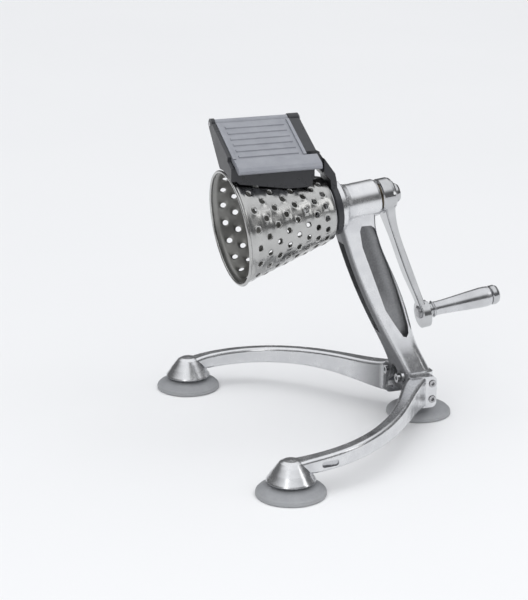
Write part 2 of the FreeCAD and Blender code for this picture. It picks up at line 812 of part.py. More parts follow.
def make_leg(label, side):
    """One leg: root pad, swept arm and the hood over its foot. `side` is -1 near, +1 far."""
    body = new_body(label)
    place(body, x="Dims.rear_x")
    root = sketch_on(body, "XZ_Plane", label + "_root", (-10, 31.5, -side * 24.05))
    soft_box(root, 30, 32, 5)
    pad(body, root, label + "_pad", "6.5", back=side > 0)
    stations = [
        # forward, sideways, height, width, thickness
        (15, 29, 31.5, 20, 31),
        (30, 45, 31.7, 17, 26),
        (49, 73, 32.8, 14, 21.5),
        (70, 100, 33.2, 12.8, 18.5),
        (95.5, 124, 32.2, 12.4, 17),
        (127, 142.5, 30, 13, 16),
        (160, 150.8, 27.2, 14.2, 15.2),
        (186, 150, 25, 17, 12.6),
    ]
    rings = []
    for i, (fwd, out, height, wide, thick) in enumerate(stations):
        before = stations[max(i - 1, 0)]
        after = stations[min(i + 1, len(stations) - 1)]
        heading = V(before[0] - after[0], side * (after[1] - before[1]), 0)
        if i == 0:
            heading = V(0, side, 0)
        if i == len(stations) - 1:
            heading = V(-1, 0, 0)
        heading.normalize()
        across = V(0, 0, 1).cross(heading)
        ring = sketch_on(body, "XY_Plane", f"{label}_ring{i}")
        ring.AttachmentOffset = FreeCAD.Placement(
            V(-fwd, side * out, height), FreeCAD.Rotation(across, V(0, 0, 1), heading, "ZYX")
        )
        soft_box(ring, wide, thick, 3.5)
        rings.append(ring)
    sweep = body.newObject("PartDesign::AdditiveLoft", label + "_sweep")
    sweep.Profile = rings[0]
    sweep.Sections = rings[1:]
    hood = sketch_on(body, "XZ_Plane", label + "_hood_profile", (0, 0, -side * DIM["foot_side"]))
    corners = [
        ("0", "32.6"),
        ("7", "32"),
        ("10.5", "30.2"),
        ("13", "27.2"),
        ("17.4", "21.4"),
        ("22", "14.9"),
        ("22.6", "13.8"),
        ("22.2", "13"),
        ("12", "13"),
        ("0", "13"),
    ]
    outline(hood, [(f"{r} - Dims.foot_fwd", z) for r, z in corners])
    line = hood.addGeometry(
        Part.LineSegment(V(-DIM["foot_fwd"], 0, 0), V(-DIM["foot_fwd"], 60, 0)), True
    )
    hood.addConstraint(Sketcher.Constraint("Vertical", line))
    pin_point(hood, line, 1, "-Dims.foot_fwd", "0")
    turned = body.newObject("PartDesign::Revolution", label + "_hood")
    turned.Profile = hood
    turned.ReferenceAxis = (hood, ["Axis0"])
    turned.Angle = 360
    foot = (-DIM["foot_fwd"], side * DIM["foot_side"], 10)
    seat = sketch_on(body, "XY_Plane", label + "_seat", foot)
    circle(seat, "0", "0", "11")
    pocket(body, seat, label + "_seat_cut", "11.2", back=True)
    hole = sketch_on(body, "XY_Plane", label + "_stud_hole", foot)
    circle(hole, "0", "0", "Dims.stud_rad + Dims.run_gap")
    pocket(body, hole, label + "_stud_bore", "19", back=True)
    slot = sketch_on(body, "XZ_Plane", label + "_slot", (-158, 26.5, -side * 162))
    soft_box(slot, 17, 6, 2.8)
    pocket(body, slot, label + "_slot_cut", "7", back=side > 0)
    bolts = sketch_on(body, "XZ_Plane", label + "_bolt_holes", (0, 0, -side * 40))
    sinks = sketch_on(body, "XZ_Plane", label + "_bolt_sinks", (0, 0, -side * 40))
    for height in LEG_BOLTS:
        circle(bolts, "0.5", str(height), "2.2")
        circle(sinks, "0.5", str(height), "3.9")
    pocket(body, bolts, label + "_bolt_bores", "20", back=side > 0)
    pocket(body, sinks, label + "_bolt_sinks_cut", "11.5", back=side > 0)
    keep(body, label)


def make_feet():
    spots = (("cup_near", 1, -1), ("cup_far", 1, 1), ("cup_rear", 0, 0))
    for label, ahead, side in spots:
        body = new_body(label)
        place(
            body,
            x=f"Dims.rear_x - {ahead} * Dims.foot_fwd",
            y=f"{side} * Dims.foot_side",
        )
        spin(
            body,
            label + "_moulded",
            [
                ("Dims.stud_rad + 0.02", "Dims.cup_tall"),
                ("8", "Dims.cup_tall"),
                ("9.2", "Dims.cup_tall - 1"),
                ("9.8", "12.2"),
                ("13", "11.5"),
                ("20", "10"),
                ("25.5", "8"),
                ("29.4", "5.8"),
                ("Dims.cup_rad - 0.5", "3.8"),
                ("Dims.cup_rad", "2.2"),
                ("Dims.cup_rad", "0.5"),
                ("Dims.cup_rad - 0.6", "0"),
                ("Dims.cup_rad - 4", "0"),
                ("Dims.cup_rad - 7", "1.8"),
                ("14", "5"),
                ("0", "6"),
                ("0", "9.8"),
                ("Dims.stud_rad + 0.02", "9.8"),
            ],
        )
        keep(body, label)

    studs = new_body("foot_studs")
    place(studs, x="Dims.rear_x")
    rods = sketch_on(studs, "XY_Plane", "stud_section", (0, 0, 10))
    nuts = new_body("foot_nuts")
    place(nuts, x="Dims.rear_x")
    plates = sketch_on(nuts, "XY_Plane", "nut_section", (0, 0, 15.8))
    for _, ahead, side in spots:
        x, y = f"-{ahead} * Dims.foot_fwd", f"{side} * Dims.foot_side"
        circle(rods, x, y, "Dims.stud_rad")
        circle(plates, x, y, "Dims.stud_rad + 0.02")
        hexagon(plates, x, y, 5.8)
    pad(studs, rods, "stud_rods", "18")
    pad(nuts, plates, "nut_plates", "4.4")
    keep(studs, "foot_studs")
    keep(nuts, "foot_nuts")


def hexagon(sketch, x, y, radius):
    corners = []
    for i in range(6):
        turn = math.radians(60 * i)
        corners.append(
            (f"{x} + {radius * math.cos(turn):.4f}", f"{y} + {radius * math.sin(turn):.4f}")
        )
    outline(sketch, corners)


def make_screws():
    bolts = new_body("leg_bolts")
    place(bolts, x="Dims.rear_x")
    for side, name in ((-1, "near"), (1, "far")):
        shank = sketch_on(bolts, "XZ_Plane", name + "_shanks", (0, 0, -side * 12))
        head = sketch_on(bolts, "XZ_Plane", name + "_heads", (0, 0, -side * 28.6))
        key = sketch_on(bolts, "XZ_Plane", name + "_keys", (0, 0, -side * 36))
        for height in LEG_BOLTS:
            circle(shank, "0.5", str(height), "2")
            circle(head, "0.5", str(height), "3.5")
            hexagon(key, "0.5", str(height), 1.9)
        pad(bolts, shank, name + "_bolt_shanks", "16.7", back=side > 0)
        pad(bolts, head, name + "_bolt_heads", "3", back=side > 0)
        pocket(bolts, key, name + "_bolt_keys", "6.4", back=side > 0)
    keep(bolts, "leg_bolts")

    ties = new_body("tie_screws")
    place(ties, x="Dims.rear_x")
    shank = sketch_on(ties, "YZ_Plane", "tie_shanks", (0, 0, -27.6))
    head = sketch_on(ties, "YZ_Plane", "tie_heads", (0, 0, -31.1))
    key = sketch_on(ties, "YZ_Plane", "tie_keys", (0, 0, -36))
    for side in TIE_SIDES:
        circle(shank, str(side), "44", "2")
        circle(head, str(side), "44", "4.4")
        hexagon(key, str(side), "44", 2.2)
    pad(ties, shank, "tie_rods", "12.6")
    pad(ties, head, "tie_caps", "3.5")
    pocket(ties, key, "tie_sockets", "6.9", back=True)
    keep(ties, "tie_screws")

    screws = new_body("hopper_screws")
    on_axis(screws, along="Dims.barrel_front")
    shank = sketch_on(screws, "XY_Plane", "ring_shanks", (0, 0, -4))
    head = sketch_on(screws, "XY_Plane", "ring_heads", (0, 0, -5.9))
    for x, y in RING_SCREWS:
        circle(shank, x, y, "1.95")
        circle(head, x, y, "3.6")
    pad(screws, shank, "ring_rods", "12")
    pad(screws, head, "ring_caps", "2")
    keep(screws, "hopper_screws")


def make_hopper():
    body = new_body("hopper")
    place(body, x="Dims.rear_x")
    long = "Dims.hopper_front - Dims.hopper_back"
    shell = sketch_on(body, "YZ_Plane", "hopper_section", (0, 0, -DIM["hopper_front"]))
    outline(
        shell,
        [
            ("35", "304"),
            ("37.5", "296"),
            ("17", "274"),
            ("1", "257.5"),
            ("-8", "249.5"),
            ("-13", "247"),
            ("-26", "247"),
            ("-26", "269.1"),
            ("-15.6", "274.4"),
            ("-15.6", "278.2"),
        ],
    )
    pad(body, shell, "hopper_block", long)
    ears = sketch_on(body, "YZ_Plane", "hopper_ears", (0, 0, -DIM["hopper_front"]))
    circle(ears, "Dims.hinge_y", "Dims.hinge_z", "5")
    pad(body, ears, "hopper_ear_bar", long)
    neck = sketch_on(body, "XZ_Plane", "neck_section", (0, 0, 3))
    outline(
        neck,
        [
            ("-119", "279"),
            ("-115", "277"),
            ("-99", "255"),
            ("-97.4", "248"),
            ("-96.6", "240"),
            ("-102.4", "239"),
            ("-103.6", "249.4"),
            ("-119", "265"),
        ],
    )
    pad(body, neck, "hopper_neck", "26", both=True)
    corner = sketch_on(body, "XZ_Plane", "corner_relief", (0, 0, 12))
    outline(
        corner,
        [("-125.4", "230"), ("-125.4", "263"), ("-117", "276"), ("-110", "276"), ("-110", "230")],
    )
    pocket(body, corner, "corner_relief_cut", "20", back=True)
    front = "Dims.barrel_front"
    spin_on_shaft(
        body,
        "fixing_ring",
        [
            (f"{front} - Dims.ring_len", "Dims.ring_bore"),
            (f"{front} - Dims.ring_len", "Dims.ring_rad - 1"),
            (f"{front} - Dims.ring_len + 1", "Dims.ring_rad"),
            (front, "Dims.ring_rad"),
            (front, "Dims.ring_bore"),
        ],
    )
    throat = sketch_on(body, "YZ_Plane", "throat_section", (0, 0, -DIM["hopper_front"] + 3.6))
    outline(
        throat,
        [
            ("32", "330"),
            ("32", "300"),
            ("34.3", "297.2"),
            ("15", "276.4"),
            ("-1", "259.9"),
            ("-10.5", "251.5"),
            ("-11", "230"),
            ("-23", "230"),
            ("-23", "330"),
        ],
    )
    pocket(body, throat, "throat", f"{long} - 14.2", back=True)
    relief = sketch_on(body, "YZ_Plane", "hinge_relief", (0, 0, -DIM["hopper_front"] + 3.6))
    circle(relief, "Dims.hinge_y", "Dims.hinge_z", "5.3")
    pocket(body, relief, "hinge_relief_cut", f"{long} - 14.2", back=True)
    spin_on_shaft(
        body,
        "cone_clearance",
        [
            (f"{front} - Dims.ring_len - 0.3", "0"),
            (f"{front} - Dims.ring_len - 0.3", "Dims.cone_small + 1.6"),
            ("Dims.cone_back", "Dims.cone_small + 1.6"),
            ("Dims.cone_mouth + 5", "Dims.cone_large + 0.4"),
            ("Dims.cone_mouth + 1.5", "Dims.cone_large + 3.6"),
            ("Dims.cone_mouth - 15", "Dims.cone_large + 3.6"),
            ("Dims.cone_mouth - 15", "0"),
        ],
        cut=True,
    )
    bore = sketch_on(body, "YZ_Plane", "hinge_bore_profile", (0, 0, -DIM["hopper_front"] - 2))
    circle(bore, "Dims.hinge_y", "Dims.hinge_z", "Dims.pin_rad + 0.01")
    pocket(body, bore, "hinge_bore", f"{long} + 4", back=True)
    holes = across_axis(body, "ring_holes", "barrel_front", -10.0)
    sinks = across_axis(body, "ring_sinks", "barrel_front", -10.0)
    for x, y in RING_SCREWS:
        circle(holes, x, y, "2.05")
        circle(sinks, x, y, "3.7")
    pocket(body, holes, "ring_bores", "15", back=True)
    pocket(body, sinks, "ring_counterbores", "6.2", back=True)
    keep(body, "hopper")


def hinge_body(name):
    """A body whose local X is the hinge line and local Y lies up the slope of the lid."""
    body = new_body(name)
    place(
        body,
        x="Dims.rear_x",
        y="Dims.hinge_y",
        z="Dims.hinge_z",
        axis=(1, 0, 0),
        angle="Dims.lid_slope",
    )
    return body


def make_guard():
    lid = hinge_body("guard_lid")
    plate = sketch_on(lid, "YZ_Plane", "lid_section", (0, 0, -201.0))
    top = "Dims.lid_thick - 0.3"
    outline(
        plate,
        [
            ("0", "-0.3"),
            ("-61.6", "-0.3"),
            ("-61.6", top),
            ("0", top),
        ],
    )
    pad(lid, plate, "lid_plate", "72")
    knuckle = sketch_on(lid, "YZ_Plane", "knuckle_section", (0, 0, -201.0))
    circle(knuckle, "0", "0", "4")
    pad(lid, knuckle, "knuckle", "72")
    lip = sketch_on(lid, "YZ_Plane", "lip_section", (0, 0, -201.0))
    outline(
        lip,
        [
            ("-77", "0.5"),
            ("-59", "0.5"),
            ("-59", "4"),
            ("-60.6", "5.2"),
            ("-74", "5.8"),
            ("-77", "4.2"),
            ("-78", "2.4"),
        ],
    )
    pad(lid, lip, "lip", "81")
    ribs = sketch_on(lid, "YZ_Plane", "rib_section", (0, 0, -194.0))
    for i in range(6):
        at = -11.0 - 8.6 * i
        outline(
            ribs,
            [
                (str(at + 1.9), "2.5"),
                (str(at + 1.1), "3.7"),
                (str(at - 1.1), "3.7"),
                (str(at - 1.9), "2.5"),
            ],
        )
    pad(lid, ribs, "ribs", "58")
    for name, start in (("front_rail", -201.0), ("back_rail", -132.0)):
        rail = sketch_on(lid, "YZ_Plane", name + "_section", (0, 0, start))
        outline(rail, [("-4.5", "2.5"), ("-4.5", "4.2"), ("-58", "4.2"), ("-58", "2.5")])
        pad(lid, rail, name, "3")
    bore = sketch_on(lid, "YZ_Plane", "knuckle_bore", (0, 0, -205))
    circle(bore, "0", "0", "Dims.pin_rad + Dims.run_gap")
    pocket(lid, bore, "knuckle_hole", "90", back=True)
    holes = sketch_on(lid, "XY_Plane", "lid_screw_holes", (0, 0, -5))
    for x, y in PRESS_SCREWS:
        circle(holes, x, y, "1.55")
    pocket(lid, holes, "lid_screw_bores", "6.6", back=True)
    keep(lid, "guard_lid")

    block = hinge_body("presser_block")
    section = sketch_on(block, "YZ_Plane", "block_section", (0, 0, -196.0))
    outline(
        section,
        [
            ("-33", "-0.4"),
            ("-33", "-8"),
            ("-38", "-11"),
            ("-57", "-11"),
            ("-59.5", "-8.5"),
            ("-59.5", "-0.4"),
        ],
    )
    pad(block, section, "block_bar", "62")
    holes = sketch_on(block, "XY_Plane", "block_screw_holes", (0, 0, -15))
    sinks = sketch_on(block, "XY_Plane", "block_screw_sinks", (0, 0, -15))
    for x, y in PRESS_SCREWS:
        circle(holes, x, y, "1.55")
        circle(sinks, x, y, "3")
    pocket(block, holes, "block_screw_bores", "20", back=True)
    pocket(block, sinks, "block_screw_sinks_cut", "6", back=True)
    keep(block, "presser_block")

    screws = hinge_body("presser_screws")
    rods = sketch_on(screws, "XY_Plane", "press_rods", (0, 0, -9.4))
    caps = sketch_on(screws, "XY_Plane", "press_caps", (0, 0, -10.8))
    for x, y in PRESS_SCREWS:
        circle(rods, x, y, "1.5")
        circle(caps, x, y, "2.8")
    pad(screws, rods, "press_shanks", "10.8")
    pad(screws, caps, "press_heads", "1.75")
    keep(screws, "presser_screws")

    pin = new_body("hinge_pin")
    place(pin, x="Dims.rear_x - Dims.hopper_back + 1.4", y="Dims.hinge_y", z="Dims.hinge_z")
    rod = sketch_on(pin, "YZ_Plane", "hinge_rod", (0, 0, 0))
    circle(rod, "0", "0", "Dims.pin_rad")
    pad(pin, rod, "hinge_rod_body", "89", back=True)
    cap = sketch_on(pin, "YZ_Plane", "hinge_cap")
    circle(cap, "0", "0", "3.4")
    pad(pin, cap, "hinge_head", "1.3", back=True)
    keep(pin, "hinge_pin")


def export_all():
    """Check every object, then write one STEP file for each finished sub-part."""
    for obj in doc.Objects:
        if "Invalid" in obj.State or "Error" in obj.State:
            raise RuntimeError(f"{obj.Name} is {obj.State}")
    os.makedirs("parts", exist_ok=True)
    for obj in WRITTEN:
        shape = obj.Shape
        if shape.isNull() or not shape.isValid():
            raise RuntimeError(f"{obj.Label} has no valid shape")
        shape.exportStep(f"parts/{obj.Label}.step")
        box = shape.BoundBox
        print(
            f"{obj.Label:16s} {len(shape.Solids)} solids {shape.Volume:9.0f} mm3 "
            f"X {box.XMin:7.1f} {box.XMax:7.1f} Y {box.YMin:7.1f} {box.YMax:7.1f} "
            f"Z {box.ZMin:6.1f} {box.ZMax:6.1f}"
        )


make_column()
make_bushes()
make_shaft()
make_drive_head()
make_cone()
make_cone_hub()
make_crank()
make_handle()
make_leg("leg_near", -1)
make_leg("leg_far", 1)
make_feet()
make_screws()
make_hopper()
make_guard()
doc.recompute()
export_all()
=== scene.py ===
"""Looks for the hand-cranked cone shredder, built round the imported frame. Metres, +Z up."""
import json
import math

import bmesh
import bpy
from mathutils import Matrix, Vector


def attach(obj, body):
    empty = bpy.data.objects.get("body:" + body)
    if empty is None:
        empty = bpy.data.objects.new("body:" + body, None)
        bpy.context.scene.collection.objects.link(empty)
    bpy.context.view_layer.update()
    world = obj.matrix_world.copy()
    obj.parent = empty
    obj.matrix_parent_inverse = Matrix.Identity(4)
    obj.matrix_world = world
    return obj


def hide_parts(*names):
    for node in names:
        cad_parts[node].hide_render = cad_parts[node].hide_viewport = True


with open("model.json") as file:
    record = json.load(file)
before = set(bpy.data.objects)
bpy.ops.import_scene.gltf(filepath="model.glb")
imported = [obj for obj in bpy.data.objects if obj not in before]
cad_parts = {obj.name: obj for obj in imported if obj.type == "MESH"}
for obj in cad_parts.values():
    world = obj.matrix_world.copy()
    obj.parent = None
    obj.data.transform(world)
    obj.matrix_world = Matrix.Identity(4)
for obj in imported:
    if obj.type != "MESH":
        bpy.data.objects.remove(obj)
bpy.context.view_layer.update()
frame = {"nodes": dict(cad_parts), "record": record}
NODES = frame["nodes"]
JOINTS = {joint["name"]: joint for joint in frame["record"]["behaviour"]["joints"]}
MM = 0.001

# The shaft's line, read from the record: its datum point and its direction towards the crank.
SHAFT = Vector(JOINTS["crank_spin"]["pos_m"])
ALONG = Vector(JOINTS["crank_spin"]["axis"]).normalized()
SIDE = Vector((0, 1, 0))
DOWN = SIDE.cross(ALONG).normalized()
SHAFT_FRAME = Matrix.Translation(SHAFT) @ Matrix((DOWN, SIDE, ALONG)).transposed().to_4x4()

# The cone's own sizes along the shaft, in mm, and its pattern of punched teeth.
CONE_BACK, CONE_MOUTH = -70.7, -164.0
CONE_SMALL, CONE_LARGE = 31.0, 53.5
SHEET = 1.15
TEETH_AROUND, TEETH_ALONG = 18, 8
TOOTH_RADIUS, TOOTH_LIP, TOOTH_DIP = 2.7, 0.6, -0.25
# Each tooth has a square of CELLS x CELLS grid cells; its hole's edge and the end of its lip
# are HOLE_CELLS and LIP_CELLS from its centre.
CELLS, HOLE_CELLS, LIP_CELLS = 14, 3, 6
END_MARGIN = 4.5
# The flat end plate, from its rounded corner inwards: (radius, distance along the shaft).
END_PLATE = ((31.0, -71.4), (30.7, -70.9), (30.0, -70.7), (22.0, -70.7), (16.2, -70.7))
RIM_RADIUS, RIM_OUT, RIM_BACK = 1.45, 0.35, 1.3


# Where painted shade darkens the column's castings, in metres: the height under the barrel, half
# the width between its two recesses, and its front rib's edge, which leans as it rises.
BELOW_BARREL = 0.204
RECESS_HALF = 0.0085
RIB_LEAN, RIB_FOOT = 0.346, 0.066


# ---------------------------------------------------------------- node helpers
class Tree:
    """A material's node tree with short calls for making and joining nodes."""

    def __init__(self, name):
        self.material = bpy.data.materials.new(name)
        self.material.use_nodes = True
        self.nodes = self.material.node_tree.nodes
        self.links = self.material.node_tree.links
        self.shader = self.nodes["Principled BSDF"]
        coordinates = self.nodes.new("ShaderNodeTexCoord")
        self.object_space = coordinates.outputs["Object"]

    def join(self, source, target):
        if isinstance(source, (int, float, tuple)):
            target.default_value = source
        else:
            self.links.new(source, target)

    def math(self, kind, a, b=0.0):
        node = self.nodes.new("ShaderNodeMath")
        node.operation = kind
        self.join(a, node.inputs[0])
        self.join(b, node.inputs[1])
        return node.outputs[0]

    def mapped(self, scale):
        node = self.nodes.new("ShaderNodeMapping")
        node.inputs["Scale"].default_value = scale
        self.links.new(self.object_space, node.inputs["Vector"])
        return node.outputs["Vector"]

    def noise(self, scale, detail=3.0, rough=0.5, source=None):
        node = self.nodes.new("ShaderNodeTexNoise")
        node.inputs["Scale"].default_value = scale
        node.inputs["Detail"].default_value = detail
        node.inputs["Roughness"].default_value = rough
        self.links.new(source or self.object_space, node.inputs["Vector"])
        return node.outputs["Fac"]

    def ramp(self, fac, low, high, first=(0, 0, 0), last=(1, 1, 1)):
        node = self.nodes.new("ShaderNodeValToRGB")
        node.color_ramp.elements[0].position = low
        node.color_ramp.elements[0].color = (*first, 1)
        node.color_ramp.elements[1].position = high
        node.color_ramp.elements[1].color = (*last, 1)
        self.links.new(fac, node.inputs["Fac"])
        return node.outputs["Color"]

    def span(self, fac, low, high, out_low, out_high):
        node = self.nodes.new("ShaderNodeMapRange")
        node.inputs["From Min"].default_value = low
        node.inputs["From Max"].default_value = high
        node.inputs["To Min"].default_value = out_low
        node.inputs["To Max"].default_value = out_high
        self.links.new(fac, node.inputs["Value"])
        return node.outputs["Result"]

    def mix(self, fac, a, b, kind="MIX"):
        node = self.nodes.new("ShaderNodeMix")
        node.data_type = "RGBA"
        node.blend_type = kind
        self.join(fac, node.inputs["Factor"])
        for value, socket in ((a, node.inputs["A"]), (b, node.inputs["B"])):
            if isinstance(value, tuple):
                socket.default_value = (*value, 1) if len(value) == 3 else value
            else:
                self.links.new(value, socket)
        return node.outputs["Result"]

    def bump(self, height, strength, distance, before=None):
        node = self.nodes.new("ShaderNodeBump")
        node.inputs["Strength"].default_value = strength
        node.inputs["Distance"].default_value = distance
        self.links.new(height, node.inputs["Height"])
        if before is not None:
            self.links.new(before, node.inputs["Normal"])
        return node.outputs["Normal"]

    def painted_shade_masks(self):
        """Where shade is painted on a casting: (recess, its deeper shade, front faces), 0 to 1 each.

        The recesses lie near the middle plane below the barrel, and their painted shade is deepest
        beside the column's front rib, whose edge leans back as it goes down; front faces get it too.
        """
        place = self.nodes.new("ShaderNodeSeparateXYZ")
        self.links.new(self.object_space, place.inputs[0])
        geometry = self.nodes.new("ShaderNodeNewGeometry")
        facing = self.nodes.new("ShaderNodeSeparateXYZ")
        self.links.new(geometry.outputs["True Normal"], facing.inputs[0])
        x, z = place.outputs["X"], place.outputs["Z"]
        y = self.math("ABSOLUTE", place.outputs["Y"])
        below = self.math("LESS_THAN", z, BELOW_BARREL)
        turned = self.math("GREATER_THAN", self.math("ABSOLUTE", facing.outputs["Y"]), 0.6)
        inner = self.math("MULTIPLY", self.math("LESS_THAN", y, RECESS_HALF), below)
        recess = self.math("MULTIPLY", turned, inner)
        lean = self.math("MULTIPLY", z, RIB_LEAN)
        behind = self.math("SUBTRACT", self.math("ADD", x, lean), RIB_FOOT)
        shade = self.span(behind, 0.007, 0.014, 1, 0)
        deep_shade = self.math("MULTIPLY", shade, self.span(z, 0.112, 0.135, 0, 1))
        ahead = self.math("MULTIPLY", self.span(facing.outputs["X"], -0.65, -0.35, 1, 0), below)
        ahead = self.math("MULTIPLY", ahead, self.span(y, 0.022, 0.06, 1, 0))
        return recess, deep_shade, ahead

    def crease(self):
        """The mesh's own curvature: low in hollows, high on edges."""
        node = self.nodes.new("ShaderNodeNewGeometry")
        return node.outputs["Pointiness"]

    def finish(self, color=None, rough=None, normal=None, **values):
        for name, value in values.items():
            self.shader.inputs[name.replace("_", " ")].default_value = value
        if color is not None:
            self.join(color, self.shader.inputs["Base Color"])
        if rough is not None:
            self.join(rough, self.shader.inputs["Roughness"])
        if normal is not None:
            self.links.new(normal, self.shader.inputs["Normal"])
        return self.material


# ------------------------------------------------------------------- materials
def cast_metal():
    """Polished casting with soft waves and pits; painted shade darkens its recesses and front faces."""
    t = Tree("cast_metal")
    wave = t.noise(30, 2, 0.4)
    cloud = t.noise(85, 4, 0.55)
    pits = t.noise(1400, 2, 0.6)
    sand = t.noise(700, 4, 0.65)
    recess, deep_shade, ahead = t.painted_shade_masks()
    painted_shade_zone = t.math("MAXIMUM", recess, ahead)
    darkest_shade_zone = t.math("MAXIMUM", deep_shade, ahead)
    tone = t.ramp(cloud, 0.3, 0.72, (0.68, 0.685, 0.70), (0.79, 0.795, 0.805))
    # Painted shade: hollows are darkened, found from the mesh's curvature.
    convex = t.span(t.crease(), 0.42, 0.52, 0.0, 1.0)
    shaded = t.mix(convex, t.mix(1.0, tone, (0.7, 0.7, 0.715), "MULTIPLY"), tone)
    # Painted shade: recesses and front faces get a darker, rougher grey, darkest beside the front rib.
    skin = t.ramp(sand, 0.3, 0.7, (0.29, 0.293, 0.303), (0.37, 0.373, 0.38))
    skin = t.mix(darkest_shade_zone, skin, t.ramp(sand, 0.3, 0.7, (0.15, 0.152, 0.158), (0.225, 0.227, 0.233)))
    color = t.mix(painted_shade_zone, shaded, skin)
    rough = t.math("ADD", t.span(cloud, 0.3, 0.7, 0.17, 0.27), t.span(pits, 0.4, 0.7, 0.0, 0.06))
    rough = t.math("ADD", rough, t.math("MULTIPLY", painted_shade_zone, 0.25))
    normal = t.bump(wave, 0.13, 0.002)
    normal = t.bump(pits, 0.04, 0.0002, normal)
    return t.finish(color, rough, normal, Metallic=1.0)


def polished_steel(name="polished_steel", tint=(0.60, 0.605, 0.615), low=0.09, high=0.2):
    """Bright plated steel with faint smears and hairline scratches."""
    t = Tree(name)
    smear = t.noise(55, 5, 0.6)
    hair = t.noise(260, 2, 0.5, t.mapped((1, 1, 0.04)))
    dark = tuple(c * 0.82 for c in tint)
    color = t.ramp(smear, 0.32, 0.7, dark, tint)
    rough = t.math("ADD", t.span(smear, 0.3, 0.7, low, high), t.span(hair, 0.45, 0.75, 0.0, 0.06))
    normal = t.bump(smear, 0.05, 0.001)
    return t.finish(color, rough, normal, Metallic=1.0)


def turned_steel():
    """Turned or drawn steel: fine rings left by the tool."""
    t = Tree("turned_steel")
    rings = t.noise(900, 2, 0.5, t.mapped((0.15, 0.15, 1)))
    cloud = t.noise(120, 3, 0.5)
    color = t.ramp(cloud, 0.3, 0.7, (0.42, 0.42, 0.43), (0.56, 0.56, 0.57))
    rough = t.span(rings, 0.35, 0.65, 0.24, 0.4)
    normal = t.bump(rings, 0.12, 0.0002)
    return t.finish(color, rough, normal, Metallic=1.0)


def black_plastic():
    """Moulded black plastic: satin gloss, a grey bloom and fine grain."""
    t = Tree("black_plastic")
    grain = t.noise(2600, 2, 0.5)
    bloom = t.noise(60, 4, 0.6)
    color = t.ramp(bloom, 0.3, 0.72, (0.021, 0.022, 0.025), (0.037, 0.038, 0.043))
    rough = t.span(bloom, 0.3, 0.7, 0.24, 0.38)
    normal = t.bump(grain, 0.10, 0.0001)
    return t.finish(color, rough, normal, Specular_IOR_Level=0.5)


def guard_plastic():
    """Blue-grey moulded lid with a fine matt grain."""
    t = Tree("guard_plastic")
    grain = t.noise(2200, 3, 0.55)
    bloom = t.noise(70, 4, 0.6)
    color = t.ramp(bloom, 0.28, 0.74, (0.245, 0.255, 0.285), (0.315, 0.325, 0.357))
    rough = t.span(bloom, 0.3, 0.7, 0.34, 0.48)
    normal = t.bump(grain, 0.16, 0.00012)
    return t.finish(color, rough, normal, Specular_IOR_Level=0.5)


def grey_rubber():
    """Soft grey rubber with a dusty bloom and moulding flecks."""
    t = Tree("grey_rubber")
    dust = t.noise(75, 5, 0.65)
    grain = t.noise(1800, 3, 0.6)
    base = t.ramp(dust, 0.3, 0.72, (0.24, 0.246, 0.26), (0.32, 0.327, 0.342))
    edge = t.span(t.crease(), 0.5, 0.6, 0.0, 1.0)
    color = t.mix(edge, base, (0.42, 0.43, 0.44))
    rough = t.span(dust, 0.3, 0.7, 0.42, 0.62)
    normal = t.bump(grain, 0.2, 0.00015)
    return t.finish(color, rough, normal, Specular_IOR_Level=0.4)


def bronze():
    t = Tree("bush_bronze")
    cloud = t.noise(140, 4, 0.6)
    color = t.ramp(cloud, 0.3, 0.7, (0.20, 0.165, 0.115), (0.30, 0.25, 0.18))
    rough = t.span(cloud, 0.3, 0.7, 0.25, 0.42)
    return t.finish(color, rough, t.bump(cloud, 0.1, 0.0004), Metallic=1.0)


MATERIALS = {
    "cast_metal": cast_metal(),
    "polished_steel": polished_steel(),
    "spun_steel": polished_steel("spun_steel", (0.54, 0.54, 0.53), 0.14, 0.26),
    # Painted shade: the cone's inside is rougher, as unpolished steel, and painted darker in place of
    # the shade inside the cone.
    "spun_inside_shaded": polished_steel("spun_inside_shaded", (0.30, 0.298, 0.285), 0.3, 0.46),
    "turned_steel": turned_steel(),
    "bush_bronze": bronze(),
    "black_plastic": black_plastic(),
    "guard_plastic": guard_plastic(),
    "grey_rubber": grey_rubber(),
    "handle_metal": polished_steel("handle_metal", (0.66, 0.665, 0.68), 0.13, 0.26),
}


for part in frame["record"]["subparts"]:
    for slot in NODES[part["node"]].material_slots:
        slot.material = MATERIALS[part["material_slot"]]


# ------------------------------------------------------------ punched steel cone
def tooth_shift(i, j, around, along):
    """Move a grid point by a tooth: circle round the hole, raised lip on its cutting side.

    `i` and `j` are cells from the hole's centre, `around` and `along` the size of a cell.
    Returns the offset from the centre in mm, and the height above the sheet.
    """
    ring = max(abs(i), abs(j))
    if ring == 0:
        return 0.0, 0.0, 0.0
    turn = math.atan2(j, i)
    radius = TOOTH_RADIUS * ring / HOLE_CELLS
    blend = min(max((ring - HOLE_CELLS) / (LIP_CELLS - HOLE_CELLS), 0.0), 1.0)
    blend = blend * blend * (3 - 2 * blend)
    u = (1 - blend) * radius * math.cos(turn) + blend * i * around
    v = (1 - blend) * radius * math.sin(turn) + blend * j * along
    near = (1 - blend) ** 1.4
    lift = TOOTH_LIP * near * (0.32 + 0.68 * math.cos(turn - 0.35))
    return u, v, max(lift, TOOTH_DIP)


def ring_at(mesh, radius, along, count):
    """A level ring of vertices round the shaft, sizes in mm."""
    angles = (2 * math.pi * step / count for step in range(count))
    spots = ((radius * math.cos(angle), radius * math.sin(angle), along) for angle in angles)
    return [mesh.verts.new(Vector(spot) * MM) for spot in spots]


def as_object(mesh, name):
    """A smooth-shaded object from a bmesh, which it frees."""
    bmesh.ops.recalc_face_normals(mesh, faces=mesh.faces)
    data = bpy.data.meshes.new(name)
    mesh.to_mesh(data)
    mesh.free()
    for face in data.polygons:
        face.use_smooth = True
    made = bpy.data.objects.new(name, data)
    bpy.context.scene.collection.objects.link(made)
    return made


